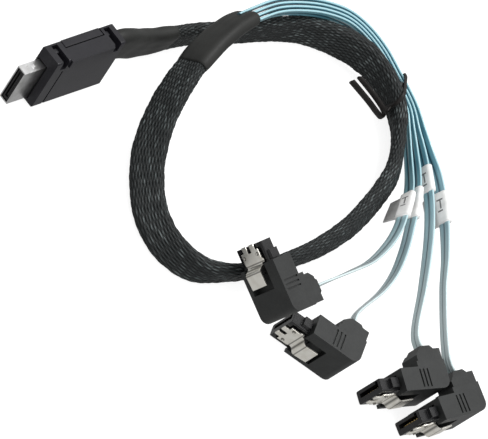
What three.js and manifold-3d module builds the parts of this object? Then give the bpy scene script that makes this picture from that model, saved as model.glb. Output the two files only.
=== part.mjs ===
// A breakout cable: one flat connector with a metal nose, a braided sleeve that lies in one loop,
// and four flat ribbons that end in right-angle drive plugs with pressed steel latches.
// Millimetres, +Z up, lying on a table at z = 0.

import * as THREE from 'three';
import { mergeVertices } from 'three/addons/utils/BufferGeometryUtils.js';
import Module from 'manifold-3d';

const wasm = await Module();
wasm.setup();

// Driving dimensions

const clearance = 0.3;
const host = {
  thickness: 6.9, length: 25.6, width: 18.2,
  collarLength: 3.6, stepDepth: 0.4, grooveWidth: 0.5, grooveDepth: 0.35,
  slotLength: 2.2, slotDepth: 3.2, slotInset: 2.1, slotWall: 0.8,
  lipHeight: 2.6, lipDepth: 0.6, edgeRadius: 0.6,
  coverLength: 14.2, coverWidth: 2.5, coverThickness: 0.8,
};
const nose = {
  reach: 7.8, width: 12.6, thickness: 3.2, wall: 0.35,
  edgeGap: 0.9, lowGap: 1.2, root: 2.6, hookLength: 0.9, hookHeight: 0.5, hookInset: 3.4,
  bladeThickness: 0.5, bladeInset: 0.7, liningInset: 0.4, liningWall: 0.4,
};
const drive = {
  length: 21.5, width: 14, thickness: 6.6, cornerRadius: 2.6, frontLength: 5.8,
  recessLength: 7.4, recessDepth: 2.1, recessLow: 1.5, recessHigh: 10,
  bootStart: 12.8, bootLow: 6.9, bootReach: 4.9, bootSideGap: 0.3, bootStep: 0.8, bootStepReach: 1.6,
  capLength: 5.6, capReach: 1.2, capInset: 0.7, capCorner: 1.2,
  gripCount: 3, gripPitch: 1.3, gripWidth: 0.5, gripDepth: 0.4, gripStart: 12, gripMargin: 0.7,
};
const mouth = {
  thickness: 3.8, width: 10.8, offset: 1.4, low: 0.2, root: 2.7, edgeRadius: 0.5,
  slotDepth: 5, slotHeight: 1.2, slotWidth: 8.4, slotFloor: 1.6, slotLow: 1.2, keyWidth: 1.1, keyHeight: 0.6,
  relief: 0.6, reliefStart: 1.2, ribLength: 2.6, ribHeight: 1.3, ribSide: 0.5,
  contactCount: 7, contactPitch: 1.1, contactWidth: 0.5, contactLength: 3.4, contactThickness: 0.25, contactBar: 0.9,
};
const latch = {
  thickness: 0.4, low: 2.2, high: 9.2, overhang: 0.2, neckInset: 0.4,
  prongInset: 1.1, prongLength: 1.5, forkWidth: 1.4, forkLength: 2.2,
  shoulderEnd: 4.6, tabLength: 0.9, tabReach: 0.5, riseStart: 6.2, riseEnd: 9.1, rise: 1.95, length: 11.6,
  dimpleRadius: 0.42, dimpleHeight: 0.35, dimpleX: 2.8, dimpleInset: 0.8,
};
const braid = { width: 9.7, thickness: 3.8, arcPoints: 5, steps: 2 };
const shrink = { wall: 0.35, arcPoints: 5, steps: 4, bootLength: 27 };
const ribbon = { width: 3.6, thickness: 0.8, pitch: 1.2, arcPoints: 4 };
const label = { room: 0.38, wall: 0.4, length: 8.4, flagReach: 3.4, flagThickness: 0.45 };
const tie = { width: 2.2, thickness: 0.9, tailRadius: 0.75, room: 0.6 };

// Where each connector lies on the table: its corner, its turn about the vertical and its tilt

const hostPlace = { at: [-67.1, -32.8, 0], yaw: -9.6, roll: -18 };
const drivePlaces = [
  { at: [1.2, -9, 11.3], yaw: -6.6, tilt: 6 },
  { at: [26, -4.6, 0], yaw: 28.9, tilt: 0 },
  { at: [55.7, 10.4, 0], yaw: 68.6, tilt: 0 },
  { at: [68.7, 16.8, 0], yaw: 75.8, tilt: 0 },
];

// Routes: x, y, height and the lean of the flat section, 90 when it stands on its edge

const sleeveRoute = [
  [-56.9, 19.9, 5.1, 96], [-54.5, 27.9, 5, 94], [-50.8, 36.5, 5, 95], [-47, 46.3, 5, 98],
  [-43.3, 56, 5, 100], [-39.6, 63.3, 5, 98], [-31.1, 72.2, 5.4, 88], [-24.2, 75.7, 6, 78],
  [-15.6, 76.9, 6.4, 74], [-7.3, 75.2, 6, 68], [-2.4, 72.6, 5.4, 62], [2.1, 68.5, 4.8, 58],
  [6.1, 63, 4.5, 58], [9.5, 53, 4.5, 60], [12.1, 39.3, 4.7, 66], [12.5, 29.7, 4.9, 74],
  [11.8, 19.4, 5, 84], [10.3, 9.8, 5, 92], [8.9, 3.3, 5, 96], [6.9, -3.7, 5, 98],
  [3.9, -10.7, 5, 94], [0.3, -16.2, 4.9, 82], [-5, -19.7, 4.7, 62], [-12, -21.1, 4.3, 44],
  [-19.6, -19.5, 4.1, 36], [-26.8, -15.3, 4.4, 35], [-33.2, -10.2, 5.7, 38], [-38.4, -4.4, 7.9, 43],
  [-42.8, 2.2, 10.7, 50], [-46.6, 10.7, 13.4, 56],
];
const transitionRoute = [
  [-47.4, 13, 14, 57], [-49.3, 20.5, 15.3, 62], [-50.4, 28.5, 15.9, 70],
  [-50.6, 35.5, 15.8, 80], [-50.1, 40.2, 15.5, 88],
];
const bundleRoute = [
  [-50, 40.7, 15.4, 90], [-48.7, 50.4, 13.9, 90], [-45.6, 60, 12, 90], [-41.2, 69.2, 10, 90],
  [-35.6, 76.9, 7.8, 90], [-29.4, 81.2, 5.9, 90], [-22.8, 83.2, 4.6, 90], [-16.6, 83.2, 4, 90],
];
const fanRoutes = [
  [[-6.5, 80.5, 3.2, 90], [-1.2, 77.4, 2.8, 90], [4.2, 73.4, 2.8, 90], [8.9, 68.7, 4, 90],
    [12.9, 62.2, 7, 90], [16.7, 53.9, 10, 90], [20, 45.6, 12.6, 90], [22.1, 37, 14.8, 90],
    [23.2, 27.1, 17, 90], [22.6, 17.4, 19.6, 90]],
  [[-6.4, 81.8, 3.2, 90], [-0.7, 79, 2.8, 90], [5, 75.1, 3.2, 90], [9.9, 70.9, 4.2, 90],
    [15.2, 64.3, 6, 90], [20.7, 55.2, 8, 90], [26.1, 45.8, 9.5, 90], [29.7, 37.9, 10.2, 90],
    [31.7, 30.4, 10.4, 90]],
  [[-6.3, 83.1, 3.2, 90], [-0.1, 80.6, 2.8, 90], [6.1, 77.1, 3.6, 90], [11.3, 73.3, 4.6, 90],
    [17.8, 67.4, 6.5, 90], [24.5, 60.1, 8.2, 90], [30.7, 52.3, 9.5, 90], [36.9, 44.4, 10.2, 90]],
  [[-6.2, 84.4, 3.2, 90], [0.5, 82.2, 3, 90], [7.2, 79.2, 3.6, 90], [13.2, 76, 5, 90],
    [19.7, 71.2, 6.5, 90], [26, 65.5, 8.2, 90], [33.4, 58.1, 9.5, 90], [41, 49.9, 10.2, 90]],
];
const labelSpans = [
  { from: 0.66, flag: -1 },
  { from: 0.665, flag: 0 },
  { from: 0.62, flag: 0 },
  { from: 0.7, flag: -1 },
];

// Materials

const finish = (color, roughness, metalness) => new THREE.MeshStandardMaterial({ color, roughness, metalness });
const blackShell = finish(0x2b2c2e, 0.55, 0);
const blackMouth = finish(0x17181a, 0.35, 0);
const steel = finish(0xb9b7aa, 0.35, 1);
const gold = finish(0xc9a55c, 0.35, 1);
const braidBlack = finish(0x23282a, 0.7, 0);
const shrinkBlack = finish(0x33342f, 0.6, 0);
const ribbonTeal = finish(0x6fa3b0, 0.3, 0.4);
const labelWhite = finish(0xe2e1de, 0.6, 0);
const tieBlack = finish(0x26231f, 0.6, 0);

const cable = new THREE.Group();

// Solids

function solid(geometry) {
  const bare = geometry.clone();
  bare.deleteAttribute('normal');
  bare.deleteAttribute('uv');
  const merged = mergeVertices(bare, 1e-4);
  return new wasm.Manifold(new wasm.Mesh({
    numProp: 3,
    vertProperties: new Float32Array(merged.attributes.position.array),
    triVerts: new Uint32Array(merged.index.array),
  }));
}

function shapeOf(body) {
  const { vertProperties, triVerts } = body.getMesh();
  const geometry = new THREE.BufferGeometry();
  geometry.setAttribute('position', new THREE.BufferAttribute(vertProperties, 3));
  geometry.setIndex(new THREE.BufferAttribute(triVerts, 1));
  geometry.computeVertexNormals();
  return geometry;
}

function block(x, y, z) {
  const box = new THREE.BoxGeometry(x[1] - x[0], y[1] - y[0], z[1] - z[0]);
  box.translate((x[0] + x[1]) / 2, (y[0] + y[1]) / 2, (z[0] + z[1]) / 2);
  return solid(box);
}

function prism(outline, from, to) {
  const geometry = new THREE.ExtrudeGeometry(outline, { depth: to - from, bevelEnabled: false, curveSegments: 4 });
  geometry.translate(0, 0, from);
  return geometry;
}

function alongZ(outline, from, to) {
  return solid(prism(outline, from, to));
}

// The outline's x and y become y and z, and the prism runs along x
function alongX(outline, from, to) {
  const geometry = prism(outline, from, to);
  geometry.applyMatrix4(new THREE.Matrix4().set(0, 0, 1, 0, 1, 0, 0, 0, 0, 1, 0, 0, 0, 0, 0, 1));
  return solid(geometry);
}

// The outline's x and y become x and z, and the prism runs along y
function alongY(outline, from, to) {
  const geometry = prism(outline, -to, -from);
  geometry.rotateX(Math.PI / 2);
  return solid(geometry);
}

function roundedBox(low, high, radius) {
  const outline = new THREE.Shape();
  outline.moveTo(low[0] + radius, low[1]);
  outline.lineTo(high[0] - radius, low[1]);
  outline.absarc(high[0] - radius, low[1] + radius, radius, -Math.PI / 2, 0, false);
  outline.lineTo(high[0], high[1] - radius);
  outline.absarc(high[0] - radius, high[1] - radius, radius, 0, Math.PI / 2, false);
  outline.lineTo(low[0] + radius, high[1]);
  outline.absarc(low[0] + radius, high[1] - radius, radius, Math.PI / 2, Math.PI, false);
  outline.lineTo(low[0], low[1] + radius);
  outline.absarc(low[0] + radius, low[1] + radius, radius, Math.PI, Math.PI * 1.5, false);
  return outline;
}

function polygon(points) {
  return new THREE.Shape(points.map(([x, y]) => new THREE.Vector2(x, y)));
}

// A flat section with round ends, its width along x
function flatPoints(width, thickness, arcPoints) {
  const radius = thickness / 2;
  const reach = width / 2 - radius;
  const points = [];
  for (const [centre, start] of [[reach, -Math.PI / 2], [-reach, Math.PI / 2]]) {
    for (let i = 0; i < arcPoints; i += 1) {
      const angle = start + (Math.PI * i) / (arcPoints - 1);
      points.push(new THREE.Vector2(centre + radius * Math.cos(angle), radius * Math.sin(angle)));
    }
  }
  return points;
}

// A section carried along a route: x of the section leans with the route's fourth number
function sweep(section, route, steps, span = [0, 1]) {
  const centre = new THREE.CatmullRomCurve3(route.map(([x, y, z]) => new THREE.Vector3(x, y, z)), false, 'centripetal');
  const geometry = new THREE.ExtrudeGeometry(section, { depth: 1, steps, bevelEnabled: false });
  const place = geometry.attributes.position;
  const up = new THREE.Vector3(0, 0, 1);
  for (let i = 0; i < place.count; i += 1) {
    const share = THREE.MathUtils.clamp(THREE.MathUtils.lerp(span[0], span[1], place.getZ(i)), 0, 1);
    const along = share * (route.length - 1);
    const index = Math.min(Math.floor(along), route.length - 2);
    const lean = THREE.MathUtils.degToRad(THREE.MathUtils.lerp(route[index][3], route[index + 1][3], along - index));
    const tangent = centre.getTangent(share);
    const right = tangent.clone().cross(up).normalize();
    const top = right.clone().cross(tangent);
    const across = right.multiplyScalar(Math.cos(lean)).addScaledVector(top, Math.sin(lean));
    const through = tangent.clone().cross(across);
    const point = centre.getPoint(share);
    point.addScaledVector(across, place.getX(i)).addScaledVector(through, place.getY(i));
    place.setXYZ(i, point.x, point.y, point.z);
  }
  return solid(geometry);
}

function add(name, body, material, parent = cable) {
  const mesh = new THREE.Mesh(shapeOf(body), material);
  mesh.name = name;
  parent.add(mesh);
}

// The host connector: x through its thickness, y from the mating face to the cable, z across its width

const noseX = [nose.edgeGap, nose.edgeGap + nose.thickness];
const noseZ = [nose.lowGap, nose.lowGap + nose.width];

function hostBody() {
  const { thickness, length, width } = host;
  const top = thickness + host.lipDepth;
  let body = alongY(roundedBox([0, 0], [thickness, width], host.edgeRadius), 0, length);
  const lip = [host.collarLength + 1.4, length - host.collarLength - 1];
  body = body.add(block([thickness / 2, top], lip, [width - host.lipHeight, width]));
  body = body.subtract(block(
    [-1, top + 1], [host.collarLength, length - host.slotInset], [-1, host.stepDepth],
  ));
  body = body.subtract(block(
    [thickness - host.grooveDepth, top], [host.collarLength, host.collarLength + host.grooveWidth],
    [-1, width - host.slotDepth - 1],
  ));
  for (const start of [host.slotInset, length - host.slotInset - host.slotLength + 0.4]) {
    body = body.subtract(block(
      [host.slotWall, top], [start, start + host.slotLength], [width - host.slotDepth, width + 1],
    ));
  }
  const coverY = coverSpan();
  body = body.subtract(block(
    [-1, host.coverWidth + clearance], [coverY[0] - clearance, coverY[1] + clearance],
    [width - host.coverThickness - clearance, width + 1],
  ));
  return body.subtract(block(
    [noseX[0] - clearance, noseX[1] + clearance], [-1, nose.root + clearance],
    [noseZ[0] - clearance, noseZ[1] + clearance],
  ));
}

function coverSpan() {
  const middle = host.length / 2 + 0.6;
  return [middle - host.coverLength / 2, middle + host.coverLength / 2];
}

function hostCover() {
  return block([0, host.coverWidth], coverSpan(), [host.width - host.coverThickness, host.width]);
}

function hook(side) {
  const edge = side > 0 ? noseZ[1] - nose.wall / 2 : noseZ[0] + nose.wall / 2;
  const back = -nose.hookInset;
  const tip = edge + side * (nose.hookHeight + nose.wall / 2);
  const outline = side > 0
    ? [[back - nose.hookLength, edge], [back, edge], [back, tip]]
    : [[back - nose.hookLength, edge], [back, tip], [back, edge]];
  const middle = (noseX[0] + noseX[1]) / 2;
  return alongX(polygon(outline), middle - 0.6, middle + 0.6);
}

function hostShield() {
  const inside = [-nose.reach - 1, nose.root + 1];
  const body = block(noseX, [-nose.reach, nose.root], noseZ).subtract(block(
    [noseX[0] + nose.wall, noseX[1] - nose.wall], inside, [noseZ[0] + nose.wall, noseZ[1] - nose.wall],
  ));
  return body.add(hook(1)).add(hook(-1));
}

const liningX = [noseX[0] + nose.wall + clearance, noseX[1] - nose.wall - clearance];
const liningZ = [noseZ[0] + nose.wall + clearance, noseZ[1] - nose.wall - clearance];

function hostLining() {
  const body = block(liningX, [nose.liningInset - nose.reach, nose.root], liningZ);
  return body.subtract(block(
    [liningX[0] + nose.liningWall, liningX[1] - nose.liningWall],
    [-nose.reach - 1, nose.root - clearance], [liningZ[0] + nose.bladeInset, liningZ[1] - nose.bladeInset],
  ));
}

function hostBlade() {
  const middle = (liningX[0] + liningX[1]) / 2;
  const half = nose.bladeThickness / 2;
  const edge = nose.bladeInset + clearance;
  return block(
    [middle - half, middle + half], [nose.liningInset * 2 - nose.reach, nose.root - 2 * clearance],
    [liningZ[0] + edge, liningZ[1] - edge],
  );
}

const hostGroup = new THREE.Group();
hostGroup.position.set(...hostPlace.at);
hostGroup.rotation.set(0, THREE.MathUtils.degToRad(hostPlace.roll), THREE.MathUtils.degToRad(hostPlace.yaw), 'ZYX');
cable.add(hostGroup);
add('host_body', hostBody(), blackShell, hostGroup);
add('host_cover', hostCover(), blackShell, hostGroup);
add('host_shield', hostShield(), steel, hostGroup);
add('host_lining', hostLining(), blackMouth, hostGroup);
add('host_blade', hostBlade(), gold, hostGroup);

// A drive plug: x from the mating face back, y from the latch towards the cable, z across its width

function driveShell() {
  const { length, width, thickness, cornerRadius, frontLength } = drive;
  const outline = new THREE.Shape();
  outline.moveTo(frontLength, 0);
  outline.lineTo(length - cornerRadius, 0);
  outline.absarc(length - cornerRadius, cornerRadius, cornerRadius, -Math.PI / 2, 0, false);
  outline.lineTo(length, thickness);
  outline.lineTo(frontLength, thickness);
  let body = alongZ(outline, 0, width);
  const bootTop = thickness + drive.bootReach;
  const bootHigh = width - drive.bootSideGap;
  body = body.add(block([drive.bootStart, length - 0.2], [thickness / 2, bootTop], [drive.bootLow, bootHigh]));
  body = body.add(block(
    [drive.bootStart - drive.bootStep, length], [thickness / 2, thickness + drive.bootStepReach],
    [drive.bootLow - drive.bootStep, width],
  ));
  body = body.add(driveCap());
  body = body.subtract(block(
    [frontLength - 1, frontLength + drive.recessLength], [-1, drive.recessDepth],
    [drive.recessLow, drive.recessHigh],
  ));
  body = body.subtract(block(
    [frontLength - 1, frontLength + mouth.root + clearance],
    [mouth.offset - clearance, mouth.offset + mouth.thickness + clearance],
    [-1, mouth.low + mouth.width + clearance],
  ));
  for (let i = 0; i < drive.gripCount; i += 1) {
    const start = drive.gripStart + i * drive.gripPitch;
    body = body.subtract(block(
      [start, start + drive.gripWidth], [drive.gripMargin, thickness - drive.gripMargin],
      [width - drive.gripDepth, width + 1],
    ));
  }
  return body;
}

// The wire comes out of the middle of this cap
const capX = (drive.bootStart + drive.length) / 2;
const capZ = (drive.bootLow + drive.width - drive.bootSideGap) / 2;
const capTop = drive.thickness + drive.bootReach + drive.capReach;

function driveCap() {
  const half = drive.capLength / 2;
  const base = drive.thickness + drive.bootReach - 1;
  const outline = polygon([
    [capX - half, base], [capX + half, base], [capX + half, capTop - drive.capCorner],
    [capX + half - drive.capCorner, capTop], [capX - half + drive.capCorner, capTop],
    [capX - half, capTop - drive.capCorner],
  ]);
  return alongZ(outline, drive.bootLow + drive.capInset, drive.width - drive.bootSideGap - drive.capInset);
}

function driveMouth() {
  const { offset, thickness, low, width, root } = mouth;
  const end = drive.frontLength + root;
  let body = alongX(roundedBox([offset, low], [offset + thickness, low + width], mouth.edgeRadius), 0, end);
  const ribEnd = drive.frontLength - clearance;
  body = body.add(block(
    [ribEnd - mouth.ribLength, ribEnd], [offset + mouth.ribSide, offset + thickness - mouth.ribSide],
    [low + width - mouth.edgeRadius, low + width + mouth.ribHeight],
  ));
  body = body.subtract(block(
    [mouth.reliefStart, end + 1], [offset - 1, offset + mouth.relief], [drive.recessLow, drive.recessHigh],
  ));
  const slotY = offset + mouth.slotFloor;
  const slotEnd = low + mouth.slotLow + mouth.slotWidth;
  body = body.subtract(block(
    [-1, mouth.slotDepth], [slotY, slotY + mouth.slotHeight], [low + mouth.slotLow, slotEnd],
  ));
  return body.subtract(block(
    [-1, mouth.slotDepth], [slotY, slotY + mouth.slotHeight + mouth.keyHeight],
    [slotEnd - mouth.keyWidth, slotEnd],
  ));
}

function driveContacts() {
  const y = [mouth.offset + mouth.slotFloor + clearance, 0];
  y[1] = y[0] + mouth.contactThickness;
  const middle = mouth.low + mouth.slotLow + mouth.slotWidth / 2;
  const first = middle - ((mouth.contactCount - 1) * mouth.contactPitch) / 2;
  const back = mouth.slotDepth - clearance;
  const half = mouth.contactWidth / 2;
  const last = first + (mouth.contactCount - 1) * mouth.contactPitch;
  let body = block([back - mouth.contactBar, back], y, [first - half, last + half]);
  for (let i = 0; i < mouth.contactCount; i += 1) {
    const z = first + i * mouth.contactPitch;
    body = body.add(block([back - mouth.contactLength, back], y, [z - half, z + half]));
  }
  return body;
}

const leafY = mouth.offset - clearance - latch.thickness;

function driveLatch() {
  const side = new THREE.Shape();
  const padY = leafY - latch.rise;
  side.moveTo(-latch.overhang, leafY);
  side.lineTo(latch.riseStart, leafY);
  side.bezierCurveTo(latch.riseStart + 1.6, leafY, latch.riseEnd - 1.6, padY, latch.riseEnd, padY);
  side.lineTo(latch.length, padY + 0.25);
  side.lineTo(latch.length, padY + 0.25 + latch.thickness);
  side.lineTo(latch.riseEnd, padY + latch.thickness);
  side.bezierCurveTo(
    latch.riseEnd - 1.6, padY + latch.thickness, latch.riseStart + 1.6, leafY + latch.thickness,
    latch.riseStart, leafY + latch.thickness,
  );
  side.lineTo(-latch.overhang, leafY + latch.thickness);
  const { low, high, prongInset, prongLength, neckInset, shoulderEnd } = latch;
  const front = -latch.overhang - 1;
  const plan = polygon([
    [front, low + prongInset], [prongLength, low + prongInset], [prongLength, low], [shoulderEnd, low],
    [shoulderEnd + latch.tabLength, low + neckInset], [latch.length + 1, low + neckInset + 0.2],
    [latch.length + 1, high - neckInset - 0.2], [shoulderEnd + latch.tabLength, high - neckInset],
    [shoulderEnd + latch.tabLength, high + latch.tabReach], [shoulderEnd, high + latch.tabReach],
    [shoulderEnd - 0.6, high], [prongLength, high], [prongLength, high - prongInset], [front, high - prongInset],
  ]);
  const middle = (low + high) / 2;
  let leaf = alongZ(side, low - 1, high + 1).intersect(alongY(plan, padY - 2, leafY + 2));
  leaf = leaf.subtract(block(
    [front, latch.forkLength - latch.overhang], [padY - 2, leafY + 2],
    [middle - latch.forkWidth / 2, middle + latch.forkWidth / 2],
  ));
  for (const z of [low + latch.dimpleInset, high - latch.dimpleInset]) {
    const knob = new THREE.CylinderGeometry(latch.dimpleRadius, latch.dimpleRadius, latch.dimpleHeight * 2, 8);
    knob.translate(latch.dimpleX, leafY, z);
    leaf = leaf.add(solid(knob));
  }
  return leaf;
}

const driveGroups = drivePlaces.map((place, index) => {
  const group = new THREE.Group();
  group.position.set(...place.at);
  group.rotation.set(0, THREE.MathUtils.degToRad(place.tilt), THREE.MathUtils.degToRad(place.yaw), 'ZYX');
  group.updateMatrixWorld(true);
  cable.add(group);
  const number = index + 1;
  add(`drive_${number}_shell`, driveShell(), blackShell, group);
  add(`drive_${number}_mouth`, driveMouth(), blackMouth, group);
  add(`drive_${number}_contacts`, driveContacts(), gold, group);
  add(`drive_${number}_latch`, driveLatch(), steel, group);
  return group;
});

// Cords

function routePoint(group, local, lean) {
  const point = new THREE.Vector3(...local).applyMatrix4(group.matrixWorld);
  return [point.x, point.y, point.z, lean];
}

hostGroup.updateMatrixWorld(true);
const exitX = host.thickness / 2;
const exitZ = host.width - 0.6 - (braid.width + 2 * shrink.wall) / 2;
const bootRoute = [
  routePoint(hostGroup, [exitX, host.length + clearance, exitZ], 108),
  routePoint(hostGroup, [exitX, host.length + 2.5, exitZ], 108),
  [-60.6, 4.9, 8.2, 105],
  [-58.8, 12.4, 6, 100],
  [-57.1, 19.1, 5.3, 97],
];
const shrinkSection = new THREE.Shape(flatPoints(braid.width + 2 * shrink.wall, braid.thickness + 2 * shrink.wall,
  shrink.arcPoints));
const braidSection = new THREE.Shape(flatPoints(braid.width, braid.thickness, braid.arcPoints));
add('host_boot', sweep(shrinkSection, bootRoute, (bootRoute.length - 1) * shrink.steps), shrinkBlack);
add('sleeve', sweep(braidSection, sleeveRoute, (sleeveRoute.length - 1) * braid.steps), braidBlack);
add('transition', sweep(shrinkSection, transitionRoute, (transitionRoute.length - 1) * shrink.steps), shrinkBlack);

const ribbonRoutes = fanRoutes.map((fan, index) => {
  const offset = (index - (fanRoutes.length - 1) / 2) * ribbon.pitch;
  const bundled = bundleRoute.map(([x, y, z, lean], i) => {
    const before = bundleRoute[Math.max(i - 1, 0)];
    const after = bundleRoute[Math.min(i + 1, bundleRoute.length - 1)];
    const run = Math.hypot(after[0] - before[0], after[1] - before[1]);
    return [x - (offset * (after[1] - before[1])) / run, y + (offset * (after[0] - before[0])) / run, z, lean];
  });
  const group = driveGroups[index];
  return [
    ...bundled, ...fan,
    routePoint(group, [capX, capTop + 5, capZ], 90),
    routePoint(group, [capX, capTop + clearance, capZ], 90),
  ];
});
const ribbonSection = new THREE.Shape(flatPoints(ribbon.width, ribbon.thickness, ribbon.arcPoints));
ribbonRoutes.forEach((route, index) => {
  add(`ribbon_${index + 1}`, sweep(ribbonSection, route, (route.length - 1) * 2), ribbonTeal);
});

// Labels wrap the ribbons, some with a flag that stands out from the ribbon's edge

function labelSection(flag) {
  const room = label.room + label.wall;
  const outer = new THREE.Shape(flatPoints(ribbon.width + 2 * room, ribbon.thickness + 2 * room, ribbon.arcPoints));
  outer.holes.push(new THREE.Path(flatPoints(
    ribbon.width + 2 * label.room, ribbon.thickness + 2 * label.room, ribbon.arcPoints,
  )));
  const edge = ribbon.width / 2 + label.room + label.wall / 2;
  const half = label.flagThickness / 2;
  const flagOutline = polygon([
    [edge, -half], [edge + label.flagReach, -half], [edge + label.flagReach, half], [edge, half],
  ].map(([x, y]) => [flag * x, flag * y]));
  return { outer, flagOutline };
}

ribbonRoutes.forEach((route, index) => {
  const { from, flag } = labelSpans[index];
  const total = new THREE.CatmullRomCurve3(route.map(([x, y, z]) => new THREE.Vector3(x, y, z))).getLength();
  const span = [from, from + label.length / total];
  const { outer, flagOutline } = labelSection(flag);
  let body = sweep(outer, route, 3, span);
  if (flag !== 0) {
    body = body.add(sweep(flagOutline, route, 3, span));
  }
  add(`label_${index + 1}`, body, labelWhite);
});

// The wire tie goes once around the sleeve and the ribbons, and its two tails stand up inside the loop

function hullOf(points) {
  const turn = (a, b, c) => (b.x - a.x) * (c.y - a.y) - (b.y - a.y) * (c.x - a.x);
  const half = (list) => {
    const chain = [];
    for (const point of list) {
      while (chain.length > 1 && turn(chain.at(-2), chain.at(-1), point) <= 1e-6) {
        chain.pop();
      }
      chain.push(point);
    }
    return chain.slice(0, -1);
  };
  const sorted = [...points].sort((a, b) => a.x - b.x || a.y - b.y);
  return [...half(sorted), ...half([...sorted].reverse())];
}

const tieIndex = 8;
const bindIndex = bundleRoute.length - 1;

function tieLoop(offset) {
  const [, y, z, lean] = sleeveRoute[tieIndex];
  const reach = (braid.width - braid.thickness) / 2;
  const angle = THREE.MathUtils.degToRad(lean);
  const [, bundleY, bundleZ] = bundleRoute[bindIndex];
  const half = ((fanRoutes.length - 1) * ribbon.pitch) / 2;
  const edge = (ribbon.width - ribbon.thickness) / 2;
  const rounds = [
    [y - reach * Math.cos(angle), z + reach * Math.sin(angle), braid.thickness / 2],
    [y + reach * Math.cos(angle), z - reach * Math.sin(angle), braid.thickness / 2],
    [bundleY + half, bundleZ + edge, ribbon.thickness / 2],
    [bundleY + half, bundleZ - edge, ribbon.thickness / 2],
  ];
  const points = [];
  for (const [cy, cz, radius] of rounds) {
    for (let i = 0; i < 12; i += 1) {
      const around = (i * Math.PI) / 6;
      points.push(new THREE.Vector2(
        cy + (radius + offset) * Math.cos(around), Math.max(cz + (radius + offset) * Math.sin(around), offset - tie.room),
      ));
    }
  }
  return hullOf(points);
}

function wireTie() {
  const [x, y] = sleeveRoute[tieIndex];
  const low = y - braid.thickness / 2 - tie.thickness;
  const outer = new THREE.Shape(tieLoop(tie.room + tie.thickness));
  outer.holes.push(new THREE.Path(tieLoop(tie.room)));
  let body = alongX(outer, x - tie.width / 2, x + tie.width / 2);
  const section = new THREE.Shape(flatPoints(tie.tailRadius * 2.6, tie.tailRadius * 2, 4));
  const tails = [
    [[x + 0.2, low - 0.7, 6.2, 90], [x + 4, low - 3.6, 6.4, 90], [x + 0.4, low - 7.6, 9.2, 90], [-21.6, 62.2, 12, 90]],
    [[x - 0.4, low - 1, 8.2, 90], [x + 2.8, low - 4, 8.6, 90], [x, low - 6.4, 11.2, 90], [-20.2, 64.2, 14.4, 90]],
  ];
  for (const tail of tails) {
    body = body.add(sweep(section, tail, 9));
  }
  return body;
}
add('wire_tie', wireTie(), tieBlack);

export default cable;
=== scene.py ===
import math

import bpy
from mathutils import Matrix, Vector, geometry


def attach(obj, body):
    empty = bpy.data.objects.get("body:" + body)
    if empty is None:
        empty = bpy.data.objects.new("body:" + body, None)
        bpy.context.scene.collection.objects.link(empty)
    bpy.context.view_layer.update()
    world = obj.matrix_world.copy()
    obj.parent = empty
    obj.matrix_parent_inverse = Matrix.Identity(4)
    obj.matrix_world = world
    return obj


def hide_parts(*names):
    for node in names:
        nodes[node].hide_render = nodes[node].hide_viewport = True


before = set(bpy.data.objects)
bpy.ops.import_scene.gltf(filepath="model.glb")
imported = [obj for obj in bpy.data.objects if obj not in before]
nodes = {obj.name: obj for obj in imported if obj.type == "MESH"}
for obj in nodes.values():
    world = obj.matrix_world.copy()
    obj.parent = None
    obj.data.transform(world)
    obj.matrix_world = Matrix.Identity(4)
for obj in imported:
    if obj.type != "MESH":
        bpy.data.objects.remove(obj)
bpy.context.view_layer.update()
print("frame loaded with", len(nodes), "nodes")

mm = 0.001
up = Vector((0, 0, 1))

# Camera: a long lens, turned as the photographed cable is seen

camera = {
    "right": (0.534, 0.620, 0.571), "back": (0, -0.677, 0.736),
    "target": (-0.00613, 0.01144, -0.00042), "distance": 4.5, "frameWidth": 0.1318, "sensor": 36,
}


def addCamera():
    view = bpy.data.cameras.new("view")
    view.sensor_width = camera["sensor"]
    view.lens = camera["sensor"] * camera["distance"] / camera["frameWidth"]
    view.clip_start, view.clip_end = 0.1, 20
    holder = bpy.data.objects.new("view", view)
    bpy.context.scene.collection.objects.link(holder)
    back = Vector(camera["back"]).normalized()
    right = Vector(camera["right"]).normalized()
    turn = Matrix((right, back.cross(right), back)).transposed().to_4x4()
    place = Vector(camera["target"]) + back * camera["distance"]
    holder.matrix_world = Matrix.Translation(place) @ turn
    bpy.context.scene.camera = holder


addCamera()
print("camera placed")

# Routes in millimetres: x, y, height and the lean of the flat section

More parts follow.
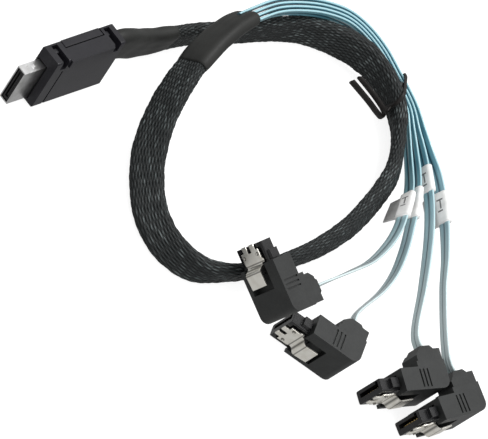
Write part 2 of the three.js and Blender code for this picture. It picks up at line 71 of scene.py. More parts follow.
hostPlace = {"at": (-67.1, -32.8, 0), "yaw": -9.6, "tilt": -18}
drivePlaces = [
    {"at": (1.2, -9, 11.3), "yaw": -6.6, "tilt": 6},
    {"at": (26, -4.6, 0), "yaw": 28.9, "tilt": 0},
    {"at": (55.7, 10.4, 0), "yaw": 68.6, "tilt": 0},
    {"at": (68.7, 16.8, 0), "yaw": 75.8, "tilt": 0},
]
bootExit = {"x": 3.45, "y": 25.6, "z": 12.4, "lean": 108}
sleeveRoute = [
    (-57.9, 15.9, 5.6, 98),
    (-56.9, 19.9, 5.1, 96), (-54.5, 27.9, 5, 94), (-50.8, 36.5, 5, 95), (-47, 46.3, 5, 98),
    (-43.3, 56, 5, 102), (-39.6, 63.3, 5, 112), (-31.1, 72.2, 5.6, 120), (-24.2, 75.9, 6.3, 112),
    (-15.6, 77.2, 6.4, 90), (-7.3, 75.4, 6, 74), (-2.4, 72.6, 5.4, 62), (2.1, 68.5, 4.8, 58),
    (6.1, 63, 4.5, 58), (9.5, 53, 4.5, 60), (12.1, 39.3, 4.7, 66), (12.5, 29.7, 4.9, 74),
    (11.8, 19.4, 5, 84), (10.3, 9.8, 5, 92), (8.9, 3.3, 5, 96), (6.9, -3.7, 5, 98),
    (3.9, -10.7, 5, 94), (0.3, -16.2, 4.9, 82), (-5, -19.7, 4.7, 62), (-12, -21.1, 4.3, 44),
    (-19.6, -19.5, 4.1, 36), (-26.8, -15.3, 4.4, 35), (-33.2, -10.2, 5.7, 38), (-38.4, -4.4, 7.9, 43),
    (-42.8, 2.2, 10.7, 50), (-46.6, 10.7, 13.4, 56), (-48.3, 16.2, 14.6, 59),
]
transitionRoute = [
    (-47.4, 13, 14, 57), (-49.3, 20.5, 15.3, 58), (-50.4, 28.5, 15.9, 60),
    (-50.6, 33.5, 15.8, 62), (-50.4, 37.8, 15.6, 64),
]
bundleRoute = [
    (-50.6, 34.6, 15.8, 90), (-50, 40.7, 15.4, 90), (-48.7, 50.4, 13.9, 90), (-45.6, 60, 12, 90),
    (-41.2, 69.2, 10, 90), (-35.6, 76.9, 7.8, 90), (-29.4, 81.2, 5.9, 90), (-22.8, 83.2, 4.6, 90),
    (-16.6, 83.2, 4, 90),
]
fanRoutes = [
    [(-6.5, 80.5, 3.2, 90), (-1.2, 77.4, 2.8, 90), (4.2, 73.4, 2.8, 92), (8.9, 68.7, 4, 96),
     (12.9, 62.2, 7, 104), (16.7, 53.9, 10, 112), (20, 45.6, 12.6, 118), (22.1, 37, 14.8, 118),
     (23.2, 27.1, 17, 112), (22.6, 17.4, 19.6, 104)],
    [(-6.4, 81.8, 3.2, 90), (-0.7, 79, 2.8, 91), (5, 75.1, 3.2, 94), (9.9, 70.9, 4.2, 98),
     (15.2, 64.3, 6, 104), (20.7, 55.2, 8, 110), (26.1, 45.8, 9.5, 112), (29.7, 37.9, 10.2, 108),
     (31.7, 30.4, 10.4, 102)],
    [(-6.3, 83.1, 3.2, 91), (-0.1, 80.6, 2.8, 94), (6.1, 77.1, 3.6, 98), (11.3, 73.3, 4.6, 102),
     (17.8, 67.4, 6.5, 106), (24.5, 60.1, 8.2, 108), (30.7, 52.3, 9.5, 106), (36.9, 44.4, 10.2, 100)],
    [(-6.2, 84.4, 3.2, 93), (0.5, 82.2, 3, 100), (7.2, 79.2, 3.6, 110), (13.2, 76, 5, 114),
     (19.7, 71.2, 6.5, 112), (26, 65.5, 8.2, 104), (33.4, 58.1, 9.5, 94), (41, 49.9, 10.2, 88)],
]


def placeMatrix(place):
    yaw = Matrix.Rotation(math.radians(place["yaw"]), 4, "Z")
    tilt = Matrix.Rotation(math.radians(place["tilt"]), 4, "Y")
    return Matrix.Translation(place["at"]) @ yaw @ tilt


def placed(place, local, lean):
    return (*(placeMatrix(place) @ Vector(local)), lean)


def splineStep(before, start, end, after, share):
    gaps = [max((b - a).length ** 0.5, 1e-4) for a, b in ((before, start), (start, end), (end, after))]
    leave = (start - before) / gaps[0] - (end - before) / (gaps[0] + gaps[1]) + (end - start) / gaps[1]
    arrive = (end - start) / gaps[1] - (after - start) / (gaps[1] + gaps[2]) + (after - end) / gaps[2]
    leave, arrive = leave * gaps[1], arrive * gaps[1]
    cubic = 2 * start - 2 * end + leave + arrive
    square = 3 * end - 3 * start - 2 * leave - arrive
    return start + share * (leave + share * (square + share * cubic))


def pointAt(route, along):
    index = min(int(along), len(route) - 2)
    start, end = Vector(route[index][:3]), Vector(route[index + 1][:3])
    before = Vector(route[index - 1][:3]) if index > 0 else 2 * start - end
    after = Vector(route[index + 2][:3]) if index + 2 < len(route) else 2 * end - start
    return splineStep(before, start, end, after, along - index)


# Stations at equal steps along a route, each with its place, its section's two directions and its distance
def stationsOf(route, step, first=0, last=None):
    last = len(route) - 1 if last is None else last
    fine = 40
    marks = [first + (last - first) * i / (fine * len(route)) for i in range(fine * len(route) + 1)]
    points = [pointAt(route, mark) for mark in marks]
    reached = [0]
    for a, b in zip(points, points[1:]):
        reached.append(reached[-1] + (b - a).length)
    count = max(round(reached[-1] / step), 2)
    stations = []
    index = 0
    reach = 0.02
    for i in range(count + 1):
        distance = reached[-1] * i / count
        while index < len(reached) - 2 and reached[index + 1] < distance:
            index += 1
        part = (distance - reached[index]) / (reached[index + 1] - reached[index])
        along = marks[index] + (marks[index + 1] - marks[index]) * min(max(part, 0), 1)
        low = max(along - reach, 0)
        high = min(along + reach, len(route) - 1)
        tangent = (pointAt(route, high) - pointAt(route, low)).normalized()
        knot = min(int(along), len(route) - 2)
        lean = math.radians(route[knot][3] + (route[knot + 1][3] - route[knot][3]) * (along - knot))
        right = tangent.cross(up).normalized()
        across = right * math.cos(lean) + right.cross(tangent) * math.sin(lean)
        stations.append({
            "at": pointAt(route, along), "across": across, "through": tangent.cross(across),
            "distance": distance, "rest": reached[-1] - distance,
        })
    return stations


def roundEnd(centre, radius, angle):
    across, through = math.cos(angle), math.sin(angle)
    return centre + radius * across, radius * through, across, through


# A flat section with round ends, each point with its outward direction and its distance around
def flatOutline(width, thickness, count):
    radius = thickness / 2
    reach = width / 2 - radius
    perimeter = 4 * reach + 2 * math.pi * radius
    outline = []
    for i in range(count):
        around = perimeter * i / count
        if around < 2 * reach:
            point = (reach - around, radius, 0, 1)
        elif around < 2 * reach + math.pi * radius:
            point = roundEnd(-reach, radius, math.pi / 2 + (around - 2 * reach) / radius)
        elif around < 4 * reach + math.pi * radius:
            point = (-reach + around - 2 * reach - math.pi * radius, -radius, 0, -1)
        else:
            point = roundEnd(reach, radius, -math.pi / 2 + (around - 4 * reach - math.pi * radius) / radius)
        outline.append({"x": point[0], "y": point[1], "out": point[2:], "around": around / perimeter})
    return outline


def meshPiece(name, points, faces, places):
    mesh = bpy.data.meshes.new(name)
    mesh.from_pydata([point * mm for point in points], [], faces)
    layer = mesh.uv_layers.new(name="lay")
    flat = [number for face in places for place in face for number in place]
    layer.uv.foreach_set("vector", flat)
    mesh.shade_smooth()
    mesh.update()
    piece = bpy.data.objects.new(name, mesh)
    bpy.context.scene.collection.objects.link(piece)
    return piece


# Carries an outline along stations; size scales the section and lift moves a point outwards
def sweepPiece(name, stations, outline, size=None, lift=None, uvAcross=None):
    count = len(outline)
    points, faces, places = [], [], []
    for station in stations:
        wide, thick = size(station) if size else (1, 1)
        for corner in outline:
            rise = lift(corner, station) if lift else 0
            x = corner["x"] * wide + corner["out"][0] * rise
            y = corner["y"] * thick + corner["out"][1] * rise
            points.append(station["at"] + station["across"] * x + station["through"] * y)
    across = [uvAcross(corner) if uvAcross else corner["around"] for corner in outline]
    across.append(across[0] if uvAcross else 1)
    for i in range(len(stations) - 1):
        below, above = (station.get("phase", station["distance"]) for station in stations[i:i + 2])
        for k in range(count):
            beside = (k + 1) % count
            faces.append((i * count + k, i * count + beside, (i + 1) * count + beside, (i + 1) * count + k))
            near, far = across[k], across[k + 1]
            places.append(((near, below), (far, below), (far, above), (near, above)))
    last = (len(stations) - 1) * count
    faces.append(tuple(range(count - 1, -1, -1)))
    faces.append(tuple(range(last, last + count)))
    for _ in range(2):
        places.append(tuple((0, 0) for _ in range(count)))
    return meshPiece(name, points, faces, places)


# Finishes: shader sums are written as expressions on sockets

class Amount:
    def __init__(self, finish, socket):
        self.finish = finish
        self.socket = socket

    def sum(self, operation, *others):
        values = {index: other for index, other in enumerate((self, *others))}
        return self.finish.node("Math", {"operation": operation}, values)

    def __add__(self, other):
        return self.sum("ADD", other)

    def __radd__(self, other):
        return self.sum("ADD", other)

    def __sub__(self, other):
        return self.sum("SUBTRACT", other)

    def __rsub__(self, other):
        return self.finish.node("Math", {"operation": "SUBTRACT"}, {0: other, 1: self})

    def __mul__(self, other):
        return self.sum("MULTIPLY", other)

    def __truediv__(self, other):
        return self.sum("DIVIDE", other)

    def __pow__(self, other):
        return self.sum("POWER", other)

    def __gt__(self, other):
        return self.sum("GREATER_THAN", other)

    def __lt__(self, other):
        return self.sum("LESS_THAN", other)


class Finish:
    def __init__(self, name):
        self.material = bpy.data.materials.new(name)
        self.material.use_nodes = True
        self.tree = self.material.node_tree
        self.tree.nodes.clear()
        self.output = self.tree.nodes.new("ShaderNodeOutputMaterial")

    def node(self, kind, settings=None, values=None, output=0):
        made = self.tree.nodes.new("ShaderNode" + kind)
        for name, value in (settings or {}).items():
            if name == "stops":
                ramp = made.color_ramp
                while len(ramp.elements) < len(value):
                    ramp.elements.new(0.5)
                for element, (position, colour) in zip(ramp.elements, value):
                    element.position, element.color = position, (*colour, 1)
            else:
                setattr(made, name, value)
        for name, value in (values or {}).items():
            if isinstance(value, Amount):
                self.tree.links.new(value.socket, made.inputs[name])
            else:
                made.inputs[name].default_value = value
        return Amount(self, made.outputs[output])

    def coordinates(self, kind="Object"):
        return self.node("TexCoord", output=kind)

    def parts(self, vector):
        split = self.node("SeparateXYZ", values={0: vector})
        outputs = split.socket.node.outputs
        return [Amount(self, outputs[i]) for i in range(3)]

    def noise(self, vector, scale, detail=3, roughness=0.5):
        values = {"Vector": vector, "Scale": scale, "Detail": detail, "Roughness": roughness}
        return self.node("TexNoise", {}, values)

    def mix(self, share, first, second):
        first = first if isinstance(first, Amount) else (*first, 1)
        second = second if isinstance(second, Amount) else (*second, 1)
        return self.node("Mix", {"data_type": "RGBA"}, {0: share, 6: first, 7: second}, 2)

    def bump(self, height, strength, distance):
        return self.node("Bump", {}, {"Height": height, "Strength": strength, "Distance": distance})

    def surface(self, **values):
        named = {name.replace("_", " "): value for name, value in values.items()}
        shader = self.node("BsdfPrincipled", {}, named)
        self.tree.links.new(shader.socket, self.output.inputs["Surface"])
        return self.material


def clampRange(amount, low, high):
    return amount.finish.node("MapRange", {"clamp": True}, {0: amount, 1: low, 2: high, 3: 0.0, 4: 1.0})


def mouldedFinish(name, dark, light, roughness, grain, gloss):
    finish = Finish(name)
    place = finish.coordinates()
    slow = finish.noise(place, 260, 2)
    fine = finish.noise(place, 5200, 4, 0.6)
    speck = finish.noise(place, 1500, 2)
    tone = clampRange(slow * 0.6 + speck * 0.4, 0.35, 0.65)
    relief = finish.bump(fine * 0.7 + speck * 0.5, grain, 0.00006)
    return finish.surface(
        Base_Color=finish.mix(tone, dark, light),
        Roughness=roughness - 0.06 + fine * 0.14,
        Specular_IOR_Level=gloss,
        Normal=relief,
    )


def metalFinish(name, colour, tint, roughness, streak):
    finish = Finish(name)
    place = finish.coordinates()
    slow = finish.noise(place, 420, 3)
    stretched = finish.node("Mapping", {}, {"Vector": place, "Scale": streak})
    brushed = finish.noise(stretched, 1, 3, 0.7)
    return finish.surface(
        Base_Color=finish.mix(clampRange(slow, 0.4, 0.7), colour, tint),
        Metallic=1.0,
        Roughness=roughness - 0.05 + brushed * 0.14,
        Normal=finish.bump(brushed, 0.25, 0.00002),
    )


braid = {
    "width": 9.3, "thickness": 3.5, "strands": 26, "lift": 0.3, "around": 130, "step": 0.4,
    "tight": 2.4, "open": 5, "closing": 16, "tucked": 3.4, "stretchPlace": 62, "stretchReach": 38,
}


# The weave is open where the sleeve is stretched, at the left of the loop, and tight at both ends
def weavePhases(stations):
    phase = 0
    for before, station in zip([stations[0], *stations], stations):
        near = min(station["distance"], station["rest"]) / braid["closing"]
        stretch = math.exp(-(((station["rest"] - braid["stretchPlace"]) / braid["stretchReach"]) ** 2))
        opened = (1 - math.exp(-near * near)) * (0.4 + 0.6 * stretch)
        crossing = braid["tight"] + (braid["open"] - braid["tight"]) * opened
        phase += (station["distance"] - before["distance"]) / crossing
        station["phase"] = phase
    return stations


# The weave of the sleeve: two families of strands that pass over and under each other
def braidLift(corner, station):
    turns = corner["around"] * braid["strands"]
    rise = station["phase"]
    heights = []
    first, second = turns + rise, turns - rise
    parity = (math.floor(first) + math.floor(second)) % 2
    for own, other, over in ((first, second, parity == 0), (second, first, parity == 1)):
        across = (own % 1 - 0.5) * 2
        arch = math.sqrt(max(1 - across * across * 0.94, 0))
        crown = math.cos((other % 1 - 0.5) * math.pi)
        heights.append(0.45 * arch + (0.55 * crown * arch if over else -0.3 * crown))
    cell = math.sin(math.floor(first) * 12.9898 + math.floor(second) * 78.233) * 43758.5453
    slack = 0.55 * (cell - math.floor(cell) - 0.5)
    return braid["lift"] * (max(heights) - 0.4 + slack)


def braidFinish():
    finish = Finish("braidedSleeve")
    turns, rise, _ = finish.parts(finish.coordinates("UV"))
    turns = turns * braid["strands"]
    first, second = turns + rise, turns - rise
    odd = (first.sum("FLOOR") + second.sum("FLOOR")).sum("FLOORED_MODULO", 2.0)
    firstAcross = first.sum("FRACT")
    secondAcross = second.sum("FRACT")
    ownAcross = firstAcross * (1 - odd) + secondAcross * odd
    otherAcross = secondAcross * (1 - odd) + firstAcross * odd
    arch = 1 - (ownAcross * 2 - 1) ** 2.0
    crown = 1 - (otherAcross * 2 - 1) ** 2.0
    cell = finish.node("CombineXYZ", values={0: first.sum("FLOOR"), 1: second.sum("FLOOR")})
    chance = finish.node("TexWhiteNoise", {"noise_dimensions": "2D"}, {"Vector": cell})
    place = finish.coordinates()
    patch = finish.noise(place, 150, 2)
    streak = finish.noise(finish.node("CombineXYZ", values={0: turns * 2.3, 1: rise * 1.7}), 1, 3, 0.6)
    drift = (chance - 0.5) * 0.5 + (streak - 0.5) * 1.7 + (patch - 0.5) * 0.8
    lit = clampRange(arch * crown * 0.5 + drift, 0.4, 0.85)
    shade = clampRange(arch * crown, 0.05, 0.6)
    colour = finish.mix(shade, (0.0015, 0.002, 0.002), (0.010, 0.013, 0.0135))
    colour = finish.mix(lit ** 1.5, colour, (0.095, 0.112, 0.113))
    height = arch * 0.7 + crown * 0.6 + streak * 0.6
    return finish.surface(
        Base_Color=colour,
        Roughness=0.52 - lit * 0.16,
        Specular_IOR_Level=0.28,
        Normal=finish.bump(height, 0.9, 0.00014),
    )


def shrinkFinish():
    finish = Finish("heatShrink")
    place = finish.coordinates()
    slow = finish.noise(place, 120, 2)
    fine = finish.noise(place, 2600, 3, 0.6)
    wrinkle = finish.noise(place, 520, 2)
    return finish.surface(
        Base_Color=finish.mix(clampRange(slow, 0.35, 0.65), (0.011, 0.0115, 0.0105), (0.017, 0.0175, 0.016)),
        Roughness=0.5 + fine * 0.12,
        Specular_IOR_Level=0.32,
        Normal=finish.bump(fine * 0.4 + wrinkle, 0.35, 0.00012),
    )


ribbon = {"width": 3.6, "thickness": 0.8, "pitch": 1.2, "step": 0.9, "insideTop": 0.5}


def ribbonFinish():
    finish = Finish("ribbonFilm")
    across, along, _ = finish.parts(finish.coordinates("UV"))
    half = across.sum("ABSOLUTE")
    place = finish.coordinates()
    drift = finish.noise(place, 95, 2)
    streakPlace = finish.node("CombineXYZ", values={0: across * 2.6, 1: along * 0.035})
    streak = finish.noise(streakPlace, 1, 3, 0.6)
    pair = clampRange(1 - ((half - 0.86) / 0.62) ** 2.0, 0.0, 0.9)
    # Painted shade: the film is darkened in the groove between the two wire pairs
    groove = clampRange(half, 0.24, 0.06)
    # Painted highlight: the film's rounded edges are made lighter and less metallic
    edge = clampRange(half, 1.42, 1.66)
    colour = finish.mix(pair, (0.02, 0.11, 0.16), (0.19, 0.47, 0.55))
    colour = finish.mix(clampRange(drift, 0.4, 0.62) * 0.5, colour, (0.05, 0.20, 0.30))
    colour = finish.mix(clampRange(streak, 0.55, 0.8) * 0.55, colour, (0.36, 0.66, 0.74))
    colour = finish.mix(groove * 0.9, colour, (0.008, 0.055, 0.08))
    colour = finish.mix(edge * 0.85, colour, (0.42, 0.68, 0.74))
    paling = clampRange(along, 92.0, 150.0)
    colour = finish.mix(paling * (0.85 - groove * 0.6), colour, (0.62, 0.70, 0.70))
    return finish.surface(
        Base_Color=colour,
        Metallic=0.35 - edge * 0.3,
        Roughness=0.24 + streak * 0.12,
        Coat_Weight=0.5,
        Normal=finish.bump(streak, 0.2, 0.00008),
    )


def labelFinish():
    finish = Finish("paperLabel")
    across, along, _ = finish.parts(finish.coordinates("UV"))
    place = finish.coordinates()
    fibre = finish.noise(place, 2400, 3, 0.6)
    cloud = finish.noise(place, 260, 2)
    strokes = 0
    for low, high, left, right in ((2.2, 2.7, -1.1, 0.9), (2.7, 5.4, -0.2, 0.25), (5.9, 6.4, -1.0, 0.6)):
        mark = (along > low) * (along < high) * (across > left) * (across < right)
        strokes = mark + strokes
    paper = finish.mix(clampRange(cloud, 0.35, 0.7), (0.86, 0.86, 0.85), (0.70, 0.70, 0.69))
    colour = finish.mix(strokes * (0.7 + fibre * 0.3), paper, (0.03, 0.03, 0.035))
    return finish.surface(
        Base_Color=colour,
        Roughness=0.42 + fibre * 0.2,
        Normal=finish.bump(fibre, 0.25, 0.00005),
    )


# The latch's painted shade lines at its folds and painted shade rings at its dimples lie on its plan, in
# millimetres from the mating face and across the plug
latchFolds = ((5.2, 0.3), (6.3, 0.3), (7.5, 0.3))
latchDimples = {"back": 2.8, "across": (3, 8.4), "radius": 0.42}


def latchFinish():
    finish = Finish("latchSteel")
    back, across, _ = finish.parts(finish.coordinates("UV"))
    place = finish.coordinates()
    slow = finish.noise(place, 420, 3)
    stretched = finish.node("Mapping", {}, {"Vector": place, "Scale": (900, 900, 5000)})
    brushed = finish.noise(stretched, 1, 3, 0.7)
    colour = finish.mix(clampRange(slow, 0.4, 0.7), (0.97, 0.95, 0.88), (0.86, 0.83, 0.75))
    # Painted shade: the steel is darkened along the folds and round the dimples
    shade = 0
    for line, reach in latchFolds:
        shade = clampRange((back - line).sum("ABSOLUTE"), reach, 0.0) + shade
    for side in latchDimples["across"]:
        away = ((back - latchDimples["back"]) ** 2.0 + (across - side) ** 2.0).sum("SQRT")
        shade = clampRange((away - latchDimples["radius"]).sum("ABSOLUTE"), 0.2, 0.05) + shade
    shade = clampRange(shade, 0.0, 1.0)
    return finish.surface(
        Base_Color=finish.mix(shade * 0.85, colour, (0.06, 0.058, 0.052)),
        Metallic=1.0,
        Roughness=0.3 + brushed * 0.14 + shade * 0.2,
        Normal=finish.bump(brushed - shade, 0.25, 0.00004),
    )


def tieFinish():
    finish = Finish("wireTie")
    place = finish.coordinates()
    fine = finish.noise(place, 3000, 3, 0.6)
    slow = finish.noise(place, 330, 2)
    return finish.surface(
        Base_Color=finish.mix(clampRange(slow, 0.35, 0.65), (0.006, 0.005, 0.0048), (0.013, 0.011, 0.010)),
        Roughness=0.42 + fine * 0.2,
        Specular_IOR_Level=0.25,
        Normal=finish.bump(fine + slow, 0.4, 0.00008),
    )


finishes = {
    "shell": mouldedFinish("shellPlastic", (0.011, 0.012, 0.0117), (0.018, 0.0195, 0.019), 0.44, 0.35, 0.36),
    "host": mouldedFinish("hostPlastic", (0.008, 0.0078, 0.0105), (0.0135, 0.013, 0.0165), 0.36, 0.3, 0.27),
    "mouth": mouldedFinish("mouthPlastic", (0.006, 0.006, 0.0065), (0.011, 0.011, 0.012), 0.26, 0.15, 0.4),
    "nose": metalFinish("noseSteel", (0.62, 0.62, 0.62), (0.48, 0.48, 0.47), 0.28, (4000, 300, 4000)),
    "latch": latchFinish(),
    "gold": metalFinish("contactGold", (0.55, 0.41, 0.19), (0.42, 0.31, 0.13), 0.28, (800, 800, 4000)),
    "braid": braidFinish(),
    "shrink": shrinkFinish(),
    "ribbon": ribbonFinish(),
    "label": labelFinish(),
    "tie": tieFinish(),
}
print("finishes made:", len(finishes))


def dress(piece, finish, slotName, *replaced, body="cable"):
    piece.data.materials.clear()
    piece.data.materials.append(finishes[finish])
    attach(piece, body)
    if replaced:
        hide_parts(*replaced)
    return piece


# The braided sleeve, from inside the boot to inside the transition

sleeveStations = weavePhases(stationsOf(sleeveRoute, braid["step"]))


def sleeveSize(station):
    inside = min(station["distance"], station["rest"]) < braid["tucked"]
    breath = 1 + 0.012 * math.sin(station["distance"] * 0.31) + 0.008 * math.sin(station["distance"] * 0.83)
    scale = 0.97 if inside else breath
    return scale, scale


sleeve = sweepPiece(
    "braidedSleeve", sleeveStations, flatOutline(braid["width"], braid["thickness"], braid["around"]),
    sleeveSize, braidLift,
)
dress(sleeve, "braid", "braid", "sleeve")

shrink = {"width": 10.4, "thickness": 4.5, "around": 56, "step": 0.7, "mouthDepth": 1.2, "lip": 0.55}


# Heat shrink follows what is under it, and its two ends turn in to the cord
def shrinkSize(station):
    end = min(station["distance"], station["rest"])
    tuck = 0.05 * math.exp(-end / 1.6)
    wave = 0.01 * math.sin(station["distance"] * 0.55)
    return 1 - tuck + wave * 0.5, 1 - tuck * 2 + wave


def shrinkLift(corner, station):
    ridges = 0.025 * math.cos(corner["x"] * 2 * math.pi / 2.4) * abs(corner["out"][1])
    crease = 0.035 * math.sin(station["distance"] * 0.8 + corner["around"] * 9)
    return ridges + crease - 0.06


def shrinkPiece(name, route):
    stations = stationsOf(route, shrink["step"])
    outline = flatOutline(shrink["width"], shrink["thickness"], shrink["around"])
    piece = sweepPiece(name, stations, outline, shrinkSize, shrinkLift)
    bpy.ops.object.select_all(action="DESELECT")
    piece.select_set(True)
    bpy.context.view_layer.objects.active = piece
    bpy.ops.object.mode_set(mode="EDIT")
    bpy.ops.mesh.select_mode(type="FACE")
    bpy.ops.mesh.select_all(action="DESELECT")
    bpy.ops.object.mode_set(mode="OBJECT")
    for face in piece.data.polygons:
        face.select = len(face.vertices) > 4
    bpy.ops.object.mode_set(mode="EDIT")
    bpy.ops.mesh.inset(thickness=shrink["lip"] * mm, use_individual=True)
    bpy.ops.mesh.inset(thickness=0.05 * mm, depth=-shrink["mouthDepth"] * mm, use_individual=True)
    bpy.ops.object.mode_set(mode="OBJECT")
    return piece


bootRoute = [
    placed(hostPlace, (bootExit["x"], bootExit["y"] - 0.6, bootExit["z"]), bootExit["lean"]),
    placed(hostPlace, (bootExit["x"], bootExit["y"] + 2.5, bootExit["z"]), bootExit["lean"]),
    (-60.6, 4.9, 8.2, 105), (-58.8, 12.4, 6, 100), (-57.1, 19.1, 5.3, 97),
]
boot = dress(shrinkPiece("hostBoot", bootRoute), "shrink", "shrink", "host_boot")
transition = dress(shrinkPiece("shrinkTransition", transitionRoute), "shrink", "shrink", "transition")

drive = {
    "capX": 17.15, "capZ": 10.3, "capTop": 12.7, "wireRise": 3.6,
    "bootStart": 12.8, "bootEnd": 21.5, "capReach": 1.2, "bootCorner": 1.5,
}


def ribbonRoute(index):
    offset = (index - (len(fanRoutes) - 1) / 2) * ribbon["pitch"]
    route = []
    for i, (x, y, z, lean) in enumerate(bundleRoute):
        before = bundleRoute[max(i - 1, 0)]
        after = bundleRoute[min(i + 1, len(bundleRoute) - 1)]
        run = math.hypot(after[0] - before[0], after[1] - before[1])
        aside = offset * (after[1] - before[1]) / run
        ahead = offset * (after[0] - before[0]) / run
        route.append((x - aside, y + ahead, z, lean))
    route += fanRoutes[index]
    for rise in (drive["wireRise"], -ribbon["insideTop"]):
        route.append(placed(drivePlaces[index], (drive["capX"], drive["capTop"] + rise, drive["capZ"]), 90))
    return route


# Two wire pairs side by side give the film two soft ridges with a groove between them
def ribbonOutline(count=20):
    half = ribbon["width"] / 2
    outline = []
    for side in (1, -1):
        for i in range(count):
            x = side * half * math.cos(math.pi * i / count)
            edge = math.sqrt(max(1 - (abs(x) / half) ** 6, 0))
            groove = 1 - 0.42 * math.exp(-((x / 0.3) ** 2))
            y = side * ribbon["thickness"] / 2 * edge * groove
            outline.append({"x": x, "y": y, "out": (x / half * 0.3, side), "around": 0})
    return outline


def acrossWidth(corner):
    return corner["x"]


ribbonRoutes = [ribbonRoute(index) for index in range(4)]
ribbons = []
for index, route in enumerate(ribbonRoutes):
    number = index + 1
    stations = stationsOf(route, ribbon["step"])
    piece = sweepPiece(f"ribbon{number}", stations, ribbonOutline(), uvAcross=acrossWidth)
    ribbons.append(dress(piece, "ribbon", "ribbon", f"ribbon_{number}"))
print("cords laid")

# Labels wrap the ribbons; some have a flag past the ribbon's edge

label = {"room": 0.42, "flagReach": 3.4, "flagThickness": 0.34, "step": 0.6}
labelSpans = [
    {"from": 0.64, "flag": -1, "length": 9.6}, {"from": 0.65, "flag": 0, "length": 9.2},
    {"from": 0.63, "flag": 0, "length": 9}, {"from": 0.69, "flag": -1, "length": 11},
]


def labelOutline(flag):
    width = ribbon["width"] + 2 * label["room"] + 0.3
    outline = flatOutline(width, ribbon["thickness"] + 2 * label["room"] + 0.3, 28)
    if not flag:
        return outline
    near = ribbon["width"] / 2 + label["room"]
    half = label["flagThickness"] / 2
    tip = near + label["flagReach"] + 0.2
    clear = 0.25
    kept = [
        corner for corner in outline
        if flag * corner["x"] < near - clear or abs(corner["y"]) > half + clear
    ]
    crossings = [i for i in range(len(kept) - 1) if kept[i]["y"] * kept[i + 1]["y"] < 0]
    place = max(crossings, key=lambda i: flag * kept[i]["x"])
    root = near + 0.2
    edge = [(root, -flag), (tip, -flag), (tip, flag), (root, flag)]
    added = [{"x": flag * x, "y": side * half, "out": (flag, 0), "around": 0} for x, side in edge]
    if kept[place]["y"] * added[0]["y"] < 0:
        added.reverse()
    return kept[: place + 1] + added + kept[place + 1:]


for index, route in enumerate(ribbonRoutes):
    number = index + 1
    cadRoute = route[1:]
    total = sum((Vector(b[:3]) - Vector(a[:3])).length for a, b in zip(cadRoute, cadRoute[1:]))
    last = len(cadRoute) - 1
    first = 1 + labelSpans[index]["from"] * last
    stations = stationsOf(route, label["step"], first, first + labelSpans[index]["length"] / total * last)
    piece = sweepPiece(
        f"flagLabel{number}", stations, labelOutline(labelSpans[index]["flag"]), uvAcross=acrossWidth,
    )
    dress(piece, "label", "label", f"label_{number}")
print("labels wrapped")


# The wire tie: a slanted band around the sleeve and the ribbons, two tails inside the loop and a small knob

tie = {
    "width": 1.3, "thickness": 0.6, "room": 0.3, "place": 9.6, "bind": 8.3, "slant": 0.42, "around": 72,
    "tailWidth": 2, "tailThickness": 0.9, "section": 14, "step": 0.4,
}
tieTails = [
    [(-9.3, 73.4, 5, 90), (-8.2, 70.9, 4.6, 90), (-9.4, 69.6, 5.4, 90), (-13.8, 67.2, 7.4, 88),
     (-20.7, 63.5, 10, 80)],
    [(-9.3, 72.9, 7.2, 90), (-8.9, 70.9, 6.8, 90), (-10.6, 70, 7.8, 90), (-14.8, 68, 9.6, 96),
     (-20.5, 64.8, 12, 104)],
    [(-13.7, 79.4, 7.6, 0), (-12.5, 80.4, 8.1, 0), (-11.5, 81.3, 7.8, 0)],
]


def tieCentre():
    _, y, z = pointAt(sleeveRoute, tie["place"])
    knot = int(tie["place"])
    lean = sleeveRoute[knot][3] + (sleeveRoute[knot + 1][3] - sleeveRoute[knot][3]) * (tie["place"] - knot)
    reach = (braid["width"] - braid["thickness"]) / 2
    aside, above = reach * math.cos(math.radians(lean)), reach * math.sin(math.radians(lean))
    rounds = [(y - aside, z + above, braid["thickness"] / 2), (y + aside, z - above, braid["thickness"] / 2)]
    edge = (ribbon["width"] - ribbon["thickness"]) / 2
    for route in (ribbonRoutes[0], ribbonRoutes[-1]):
        _, ribbonY, ribbonZ = pointAt(route, tie["bind"])
        rounds += [(ribbonY, ribbonZ + side, ribbon["thickness"] / 2) for side in (edge, -edge)]
    corners = []
    for middleY, middleZ, radius in rounds:
        far = radius + tie["room"] + tie["thickness"] / 2
        for i in range(24):
            angle = math.pi * i / 12
            low = tie["thickness"] / 2 + 0.05
            corners.append((middleY + far * math.cos(angle), max(middleZ + far * math.sin(angle), low)))
    return [Vector(corners[i]) for i in geometry.convex_hull_2d(corners)]


# Points at equal steps round a closed outline
def evenly(corners, count):
    reached = [0]
    for a, b in zip(corners, corners[1:] + corners[:1]):
        reached.append(reached[-1] + (b - a).length)
    points = []
    for i in range(count):
        distance = reached[-1] * i / count
        index = max(k for k in range(len(corners)) if reached[k] <= distance)
        share = (distance - reached[index]) / (reached[index + 1] - reached[index])
        points.append(corners[index].lerp(corners[(index + 1) % len(corners)], share))
    return points


def tieBand(name):
    x, y, _ = pointAt(sleeveRoute, tie["place"])
    ring = evenly(tieCentre(), tie["around"])
    outline = flatOutline(tie["width"], tie["thickness"], tie["section"])
    points, faces = [], []
    for i, centre in enumerate(ring):
        along = ring[(i + 1) % len(ring)] - ring[i - 1]
        outward = Vector((along.y, -along.x)).normalized()
        for corner in outline:
            spot = centre + outward * corner["y"]
            points.append(Vector((x - tie["slant"] * (spot.x - y) + corner["x"], spot.x, spot.y)))
    count = len(outline)
    for i in range(len(ring)):
        after = (i + 1) % len(ring)
        for k in range(count):
            beside = (k + 1) % count
            faces.append((i * count + k, i * count + beside, after * count + beside, after * count + k))
    return meshPiece(name, points, faces, [((0, 0),) * 4] * len(faces))


